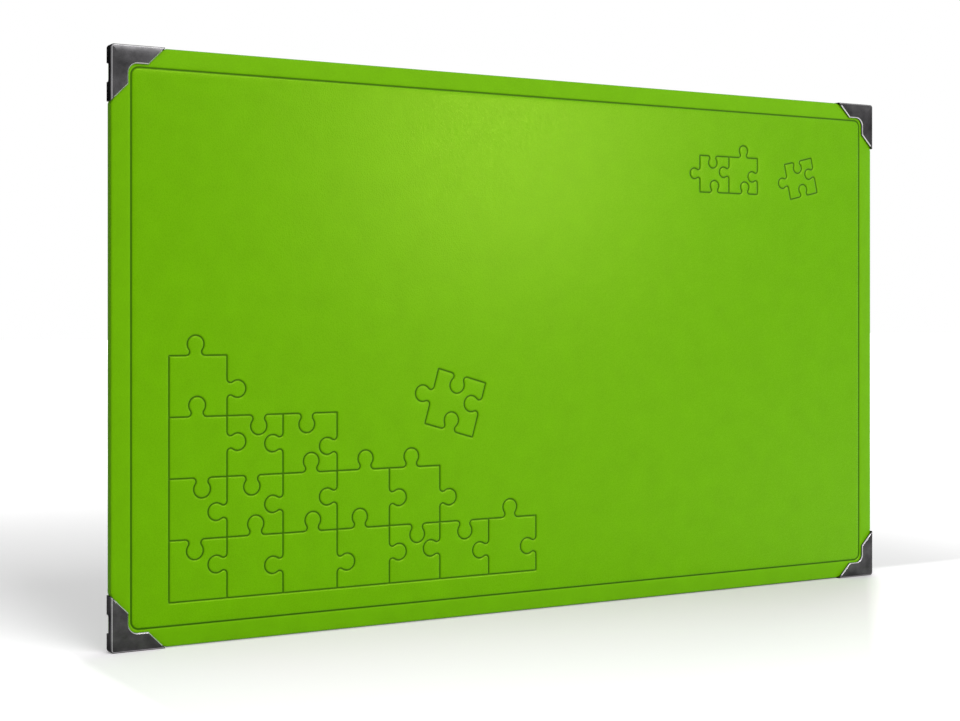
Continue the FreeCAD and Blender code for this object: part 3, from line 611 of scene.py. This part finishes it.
# The die leaves the band outside the border smoother to the touch, yet more matt than the grain
rim = put(tree, "ShaderNodeGroup", {"Place": place}, node_tree=from_edge).outputs["Distance"]
dull = reckon(tree, "MULTIPLY_ADD", grain["Pebble Tone"], -0.17, 0.353)
dull = reckon(tree, "ADD", dull, ease(
    tree, rim, (BORDER_INSET - 0.7) * MM, BORDER_INSET * MM, 0.27, 0.0))
dull = reckon(tree, "MULTIPLY_ADD", burnished, 0.2, dull)
dull = reckon(tree, "MULTIPLY_ADD", side, 0.4, dull)
tree.links.new(dull, shader.inputs["Roughness"])
shader.inputs["Specular Tint"].default_value = (0.72, 1.0, 0.07, 1)
relief = put(tree, "ShaderNodeBump", {
    "Height": grain["Height"], "Distance": 0.00006, "Strength": 0.5})
slow = put(tree, "ShaderNodeTexNoise", {
    "Vector": place, "Scale": 70.0, "Detail": 3.0}).outputs["Fac"]
waves = put(tree, "ShaderNodeBump", {
    "Height": slow, "Distance": 0.0001, "Strength": 0.3, "Normal": relief.outputs[0]})
# Outside the border the foam is slack, and the skin leans back a few degrees to the edge
slope = reckon(tree, "MINIMUM", reckon(tree, "DIVIDE", rim, BORDER_INSET * MM), 1.0)
lean = put(tree, "ShaderNodeBump", {
    "Height": slope, "Distance": 0.00055, "Strength": 1.0, "Normal": waves.outputs[0]})
tree.links.new(lean.outputs[0], shader.inputs["Normal"])

skin_piece = shell("leatherette", [front_rim], [(*skin, True)])
half_width, half_height = BOARD_WIDTH / 2, BOARD_HEIGHT / 2
rim_end = FRONT_ROUND + GUARD_SEAT + 0.1
for vertex in skin_piece.data.vertices:
    x, _, z = vertex.co
    inward = min(half_width - abs(x / MM), half_height - abs(z / MM - BOARD_FOOT - half_height))
    raised = 0 if inward < rim_end else EDGE_DROP * min(1, inward / BORDER_INSET)
    waving = FACE_WAVE * smooth(inward, 3, 12) * noise.noise((x * 55, 3.7, z * 55))
    vertex.co.y -= (raised + waving) * MM
press(skin_piece, pressed[:1], BORDER_WIDTH * MM, leatherette)
press(skin_piece, pressed[1:], PICTURE_WIDTH * MM, leatherette)

outer = []
for step in range(1, 7):
    angle = math.pi / 2 * step / 6
    outer.append((FRONT_ROUND * (1 - math.sin(angle)),
                  LEATHER_FRONT + EDGE_DROP + FRONT_ROUND * (1 - math.cos(angle))))
outer += [(0, -0.6), (0, 0.5), (0, 1.5)]
for step in range(6):
    angle = math.pi / 2 * step / 5
    outer.append((BACK_ROUND * (1 - math.cos(angle)),
                  LEATHER_BACK - BACK_ROUND * (1 - math.sin(angle))))
# From the front's rim: the outer side, the flaps with their seams, their cut edge, and back inside
flap = (2.0, 3.2, 5, 8, 11, 14, 17, 19.4)
cut_edge = ((19.8, 3.02), (19.97, 2.92), (TURN_IN, 2.75), (TURN_IN, 2.32))
card_face, inner_front = LEATHER_BACK - LEATHER_GAUGE, LEATHER_FRONT + LEATHER_GAUGE
inside = ((0.8, 2.1), (0.8, 0.3), (0.8, inner_front + 0.3), (0.89, inner_front + 0.09),
          (1.1, inner_front))
seam_floor = card_face + 0.05
rings = [front_rim]
for inset, depth in outer:
    rings.append(edge_ring(inset, depth, max(CORNER_ROUND - inset, 0.5), GUARD_SEAT))
for inset in flap:
    seam = seam_floor if inset > MITRE_END else None
    rings.append(edge_ring(inset, LEATHER_BACK, FLAP_CORNER, slit=seam))
for inset, depth in cut_edge:
    rings.append(edge_ring(inset, depth, FLAP_CORNER, slit=seam_floor))
for inset in (19.95, 14, 8, 3, 1.2):
    rings.append(edge_ring(inset, card_face, 0.6))
for inset, depth in inside:
    rings.append(edge_ring(inset, depth, 0.6 if inset < 1 else 0.3))
lining = flat_skin(rings[-1], grid_points(24, 12))
leather_cover = shell("leatherette_sheet", rings, [(*lining, False)])
leather_cover.data.materials.append(leatherette)
with bpy.context.temp_override(active_object=leather_cover, object=leather_cover,
                               selected_editable_objects=[leather_cover, skin_piece]):
    bpy.ops.object.join()
knit(leather_cover, smooth_angle=50)
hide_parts("leatherette_cover")
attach(leather_cover, "root")


# Back infill card
# A 0.8 mm greyboard card, glued into the window between the turned-in flaps, so that the felt
# over it lies flat. It is cut a half millimetre short all round.
greyboard = pressed_fibre_material(
    "greyboard", (0.42, 0.40, 0.36, 1), (0.25, 0.235, 0.21, 1), 0.002, 0.0002, 0.00003)
dress(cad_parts["back_infill_card"], greyboard)


# Felt work surface
# 1 mm charcoal felt, die-cut with rounded corners and glued over the card and the flaps. The puzzle
# is laid out on it, and its nap holds the pieces. It swells a little and its cut edge is fuzzy.
FELT_INSET, FELT_CORNER, FELT_GAUGE = 11, 3, 1.0
FELT_STEP, FELT_GRID = 2.5, 2.4
felt_back = LEATHER_BACK + FELT_GAUGE


def felt_ring(inset, depth, ragged):
    """A line round the felt; `ragged` is how far the cut edge wanders."""
    ring = []
    for number, (right, up) in enumerate([(1, 0), (1, 1), (0, 1), (0, 0)]):
        bend = FELT_CORNER - min(inset, FELT_CORNER - 0.5)
        edge = FELT_INSET + inset + bend
        centre = (edge + right * (BOARD_WIDTH - 2 * edge), edge + up * (BOARD_HEIGHT - 2 * edge))
        for step in range(11):
            angle = math.pi / 2 * (number - 1 + step / 10)
            ring.append((centre[0] + bend * math.cos(angle), depth,
                         centre[1] + bend * math.sin(angle)))
        following = [(1, 1), (0, 1), (0, 0), (1, 0)][number]
        target = (edge + following[0] * (BOARD_WIDTH - 2 * edge),
                  edge + following[1] * (BOARD_HEIGHT - 2 * edge))
        angle = math.pi / 2 * number
        start = ring[-1]
        end = (target[0] + bend * math.cos(angle), depth, target[1] + bend * math.sin(angle))
        count = round(math.hypot(end[0] - start[0], end[2] - start[2]) / FELT_STEP)
        ring += [(start[0] + (end[0] - start[0]) * step / count, depth,
                  start[2] + (end[2] - start[2]) * step / count) for step in range(1, count)]
    return [(x + ragged * noise.noise((x * 0.9, depth * 2, z * 0.9)), y,
             z + ragged * noise.noise((x * 0.9, depth * 2 + 9, z * 0.9))) for x, y, z in ring]


felt_rings = [felt_ring(0.45, felt_back, 0.05), felt_ring(0.15, felt_back - 0.1, 0.08),
              felt_ring(0.02, felt_back - 0.35, 0.12), felt_ring(0.0, LEATHER_BACK + 0.35, 0.12),
              felt_ring(0.05, LEATHER_BACK + 0.01, 0.05)]
clear = FELT_INSET + 2
felt_top = flat_skin(felt_rings[0], [
    (x, z) for x, z in grid_points(FELT_GRID, FELT_GRID)
    if clear < x < BOARD_WIDTH - clear and clear < z < BOARD_HEIGHT - clear])
felt_under = flat_skin(felt_rings[-1], grid_points(20, 16))
felt_sheet = shell("felt_sheet", felt_rings, [(*felt_top, False), (*felt_under, True)])
knit(felt_sheet)
for vertex in felt_sheet.data.vertices:
    x, y, z = vertex.co
    if y > (felt_back - 0.05) * MM:
        swell = 0.00010 * noise.noise((x * 28, 1.3, z * 28))
        swell += 0.00003 * noise.noise((x * 240, 5.1, z * 240))
        vertex.co.y += swell - 0.00012

felt, tree, shader, place = finish_material("charcoal_felt", 0.95)
hairs = put(tree, "ShaderNodeGroup", {
    "Place": place, "Length": 0.006, "Thickness": 0.0004, "Curl": 1.0},
    node_tree=matted_fibres).outputs["Fibres"]
lumps = put(tree, "ShaderNodeGroup", {"Place": place, "Patch Size": 0.006, "Amount": 0.12},
            node_tree=uneven_tone).outputs["Tone"]
charcoal = blend(tree, hairs, (0.022, 0.023, 0.026, 1), (0.062, 0.064, 0.070, 1))
tree.links.new(blend(tree, 1.0, charcoal, lumps, "MULTIPLY"), shader.inputs["Base Color"])
shader.inputs["Sheen Weight"].default_value = 0.25
shader.inputs["Sheen Roughness"].default_value = 0.5
nap = put(tree, "ShaderNodeBump", {"Height": hairs, "Distance": 0.00025, "Strength": 0.6})
tree.links.new(nap.outputs[0], shader.inputs["Normal"])
felt_sheet.data.materials.append(felt)
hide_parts("felt_work_surface")
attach(felt_sheet, "root")


# Corner guards
# Four castings of zinc alloy, ground along the bevel and plated in polished black nickel. Each is
# pushed on over the corner, and its walls are pressed into the edges, so that lip and tabs grip.
EDGE_BREAK = 0.2
PLATE_RIM, PLATE_BACK, PILLOW_REACH = (1.2, 1.6), (-2.6, -2.2), 5
nickel, tree, shader, place = finish_material("black_nickel", 0.2)
shader.inputs["Metallic"].default_value = 1.0
shader.inputs["Specular Tint"].default_value = (0.35, 0.35, 0.35, 1)
# The ground bevel and the plate's rounded rim, in a light metal colour: partly bare ground metal,
# partly painted highlight. It takes surfaces turned away from the front, but no wall, and only at
# the depth of the plate
bent = put(tree, "ShaderNodeGroup", {"Start": 0.97, "End": 0.88},
           node_tree=turned_over).outputs["Turned"]
rim = put(tree, "ShaderNodeGroup", {"Place": place}, node_tree=from_edge).outputs["Distance"]
on_rim = ease(tree, rim, PLATE_RIM[0] * MM, PLATE_RIM[1] * MM, 0.18, 0.0)
upright = put(tree, "ShaderNodeGroup", {
    "Start": reckon(tree, "ADD", on_rim, 0.68), "End": reckon(tree, "ADD", on_rim, 0.58)},
    node_tree=turned_over).outputs["Turned"]
depth = put(tree, "ShaderNodeSeparateXYZ", {0: place}).outputs[1]
ground_and_highlight = reckon(tree, "MULTIPLY", reckon(tree, "SUBTRACT", bent, upright), ease(
    tree, depth, PLATE_BACK[0] * MM, PLATE_BACK[1] * MM, 1.0, 0.0))
cloud = put(tree, "ShaderNodeGroup", {"Place": place, "Patch Size": 0.008, "Amount": 0.5},
            node_tree=uneven_tone).outputs["Tone"]
scratches = put(tree, "ShaderNodeGroup", {
    "Place": place, "Length": 0.009, "Thickness": 0.00008, "Curl": 0.1},
    node_tree=matted_fibres).outputs["Fibres"]
# The plate's dark colour swings lighter and darker in broad patches, painted to stand in for uneven
# reflections across it.
plate = blend(tree, 1.0, (0.076, 0.074, 0.077, 1), cloud, "MULTIPLY")
# Light metal colour on the bevel and rim: bare metal and painted highlight.
plate = blend(tree, ground_and_highlight, plate, (0.64, 0.63, 0.64, 1))
tree.links.new(plate, shader.inputs["Base Color"])
tree.links.new(reckon(tree, "MULTIPLY_ADD", scratches, 0.06, 0.15), shader.inputs["Roughness"])
casting = put(tree, "ShaderNodeTexNoise", {
    "Vector": place, "Scale": 90.0, "Detail": 1.0}).outputs["Fac"]
swells = put(tree, "ShaderNodeBump", {"Height": casting, "Distance": 0.0003, "Strength": 0.35})
# Polishing rounds the plate off towards its outer edges, like a pillow
inward = reckon(tree, "MINIMUM", reckon(tree, "DIVIDE", rim, PILLOW_REACH * MM), 1.0)
fall = reckon(tree, "POWER", reckon(tree, "SUBTRACT", 1.0, inward), 2.0)
fall = reckon(tree, "SUBTRACT", 1.0, fall)
pillow = put(tree, "ShaderNodeBump", {
    "Height": fall, "Distance": 0.0003, "Strength": 1.0, "Normal": swells.outputs[0]})
tree.links.new(pillow.outputs[0], shader.inputs["Normal"])


def finish_casting(node, name):
    """The casting as it leaves the polisher: a merged copy with its sharp edges broken."""
    mesh = node.data.copy()
    if "custom_normal" in mesh.attributes:
        mesh.attributes.remove(mesh.attributes["custom_normal"])
    piece = bpy.data.objects.new(name, mesh)
    bpy.context.scene.collection.objects.link(piece)
    work = bmesh.new()
    work.from_mesh(mesh)
    bmesh.ops.remove_doubles(work, verts=work.verts, dist=0.000001)
    bmesh.ops.dissolve_limit(work, angle_limit=math.radians(0.5), verts=work.verts,
                             edges=work.edges)
    work.to_mesh(mesh)
    work.free()
    mesh.shade_smooth()
    breaking = piece.modifiers.new("edge_break", "BEVEL")
    breaking.width = EDGE_BREAK * MM
    breaking.segments = 3
    breaking.limit_method = "ANGLE"
    breaking.angle_limit = math.radians(28)
    breaking.use_clamp_overlap = True
    flattening = piece.modifiers.new("flat_faces", "WEIGHTED_NORMAL")
    flattening.weight = 80
    plain = carried_out(piece)
    piece.modifiers.clear()
    piece.data = plain
    plain.materials.clear()
    plain.materials.append(nickel)
    return piece


for corner in ("top_left", "top_right", "bottom_left", "bottom_right"):
    guard = finish_casting(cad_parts["corner_guard_" + corner], "guard_casting_" + corner)
    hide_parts("corner_guard_" + corner)
    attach(guard, "root")


# Stage
# The white sweep of a studio: a pale floor that keeps the board's shadow, a broad soft light in
# front, soft boxes at the right, overhead and behind, and a white surround.
FLOOR_REACH, BOARD_END = 9, BOARD_WIDTH / 2 * MM
floor_mesh = bpy.data.meshes.new("studio_floor")
floor_mesh.from_pydata([(FLOOR_REACH * x, FLOOR_REACH * y, 0) for x, y in (
    (-1, -1), (1, -1), (1, 1), (-1, 1))], [], [(0, 1, 2, 3)])
floor = bpy.data.objects.new("studio_floor", floor_mesh)
bpy.context.scene.collection.objects.link(floor)
white, tree, shader, place = finish_material("white_floor", 0.35)
shader.inputs["Specular IOR Level"].default_value = 0.0
shader.inputs["Emission Color"].default_value = (1, 1, 1, 1)
spot = put(tree, "ShaderNodeSeparateXYZ", {0: place}).outputs
off_middle = reckon(tree, "ABSOLUTE", spot[0])
beside = reckon(tree, "MAXIMUM", reckon(tree, "SUBTRACT", off_middle, BOARD_END), 0.0)
before = reckon(tree, "MULTIPLY", spot[1], -1.0)
in_front = ease(tree, spot[1], 0.0, 0.025, 1.0, 0.0)
# The lift to white, which the camera sees, and metal more weakly, but which lights nothing. Its
# uneven amount paints light and shade on the floor: in front it is least at the board's foot and
# less towards the right, and grows away from the foot and past the edge of the board's shadow at
# its right, an edge that the lift paints.
past_shadow = reckon(tree, "MULTIPLY_ADD", before, 0.93, spot[0])
past_shadow = reckon(tree, "SUBTRACT", past_shadow, BOARD_END)
front_glow = ease(tree, spot[0], -BOARD_END, BOARD_END, 0.24, 0.05)
for way, start, end in ((beside, 0.0, 0.03), (past_shadow, -0.01, 0.025)):
    front_glow = reckon(tree, "MAXIMUM", front_glow, ease(tree, way, start, end, 0.0, 0.5))
front_glow = reckon(tree, "ADD", front_glow, ease(tree, before, 0.0, 0.5, 0.0, 0.5))
# Behind, it grows towards the back and away to both sides, more on the left, and so paints the
# board's shadow there lighter in places
rear_glow = ease(tree, spot[1], 0.4, 1.1, 0.0, 0.45)
for way, start, end, from_glow, to_glow in (
        (spot[0], -0.3, -0.21, 0.15, 0.0), (spot[0], -0.1, 0.25, 0.18, 0.0),
        (spot[0], 0.28, 0.5, 0.0, 0.25), (beside, 0.75, 1.75, 0.0, 0.4)):
    rear_glow = reckon(tree, "ADD", rear_glow, ease(tree, way, start, end, from_glow, to_glow))
glow = reckon(tree, "MULTIPLY", reckon(tree, "SUBTRACT", 1.0, in_front), rear_glow)
glow = reckon(tree, "MULTIPLY_ADD", in_front, front_glow, glow)
ray = put(tree, "ShaderNodeLightPath").outputs
seen = reckon(tree, "MULTIPLY", ray["Is Glossy Ray"], 0.4)
seen = reckon(tree, "MAXIMUM", ray["Is Camera Ray"], seen)
tree.links.new(reckon(tree, "MULTIPLY", seen, glow), shader.inputs["Emission Strength"])
# Right in front of the board the floor is painted a faint pink, which cancels the green light that
# the board throws on it
near_foot = ease(tree, before, 0.0, 0.25, 1.0, 0.0)
near_foot = reckon(tree, "MULTIPLY", near_foot, ease(tree, off_middle, 0.18, 0.28, 1.0, 0.0))
near_foot = reckon(tree, "MULTIPLY", in_front, near_foot)
tree.links.new(blend(tree, near_foot, (0.88, 0.88, 0.88, 1), (0.89, 0.8, 0.89, 1)),
               shader.inputs["Base Color"])
floor_mesh.materials.append(white)

# The surround is white to the camera, has walls of uneven brightness for the metal to mirror, and
# lights everything else evenly and weakly
EVEN_LIGHT = 0.32
world = bpy.data.worlds.new("studio")
bpy.context.scene.world = world
world.use_nodes = True
tree = world.node_tree
surround = tree.nodes["Background"]
ray = put(tree, "ShaderNodeLightPath").outputs
toward = put(tree, "ShaderNodeTexCoord").outputs["Generated"]
toward = put(tree, "ShaderNodeSeparateXYZ", {0: toward}).outputs
side_walls = ease(tree, reckon(tree, "ABSOLUTE", toward[0]), 0.74, 0.94, 0.0, 1.3)
ceiling = ease(tree, toward[2], 0.3, 0.8, 0.15, 0.8)
front_wall = reckon(tree, "MULTIPLY", ease(tree, toward[1], -0.7, -0.3, 1.0, 0.0), ease(
    tree, toward[2], 0.0, 0.2, 0.3, 1.0))
room = reckon(tree, "MAXIMUM", front_wall, reckon(tree, "MAXIMUM", side_walls, ceiling))
shown = reckon(tree, "MAXIMUM", ray["Is Camera Ray"], ray["Is Transmission Ray"])
mirrored = reckon(tree, "MULTIPLY", ray["Is Glossy Ray"], room)
lit = reckon(tree, "MAXIMUM", shown, ray["Is Glossy Ray"])
lit = reckon(tree, "MULTIPLY", EVEN_LIGHT, reckon(tree, "SUBTRACT", 1.0, lit))
strength = reckon(tree, "ADD", reckon(tree, "MAXIMUM", shown, mirrored), lit)
tree.links.new(strength, surround.inputs["Strength"])
surround.inputs["Color"].default_value = (1, 1, 1, 1)


def soft_box(name, place, aim, width, height, radiance):
    """A rectangular lamp with its front at `place`, turned to `aim`."""
    data = bpy.data.lights.new(name, "AREA")
    data.shape = "RECTANGLE"
    data.size, data.size_y = width, height
    data.energy = radiance * math.pi * width * height
    lamp = bpy.data.objects.new(name, data)
    lamp.location = place
    lamp.rotation_mode = "QUATERNION"
    lamp.rotation_quaternion = (Vector(aim) - Vector(place)).to_track_quat("-Z", "Y")
    bpy.context.scene.collection.objects.link(lamp)


soft_box("right_soft_box", (0.71, -1.23, 0.44), (0.0, 0.0, 0.2), 0.25, 0.39, 12.3)
soft_box("overhead_soft_box", (0.1, 0.15, 1.7), (0.0, 0.0, 0.0), 0.9, 0.5, 3.0)
soft_box("rear_soft_box", (1.2, 1.05, 0.9), (0.0, 0.0, 0.15), 0.9, 0.5, 5.0)

front_data = bpy.data.lights.new("front_light", "SUN")
front_data.energy = 1.6
front_data.angle = math.radians(36)
front_light = bpy.data.objects.new("front_light", front_data)
front_light.rotation_mode = "QUATERNION"
front_light.rotation_quaternion = Vector((-0.196, 0.785, -0.588)).to_track_quat("-Z", "Y")
bpy.context.scene.collection.objects.link(front_light)

# The camera stands in front, off the board's left end and near the height of its middle, and
# looks level; its small shift brings the board into the frame
camera_data = bpy.data.cameras.new("camera")
camera_data.sensor_fit = "HORIZONTAL"
camera_data.sensor_width = 36.0
camera_data.lens = 63.675
camera_data.shift_y = -0.0510
camera = bpy.data.objects.new("camera", camera_data)
camera.location = (-0.51293, -0.81720, 0.16863)
camera.rotation_euler = (math.radians(90), 0, math.radians(-30.156))
bpy.context.scene.collection.objects.link(camera)
bpy.context.scene.camera = camera
bpy.context.scene.view_settings.view_transform = "Standard"
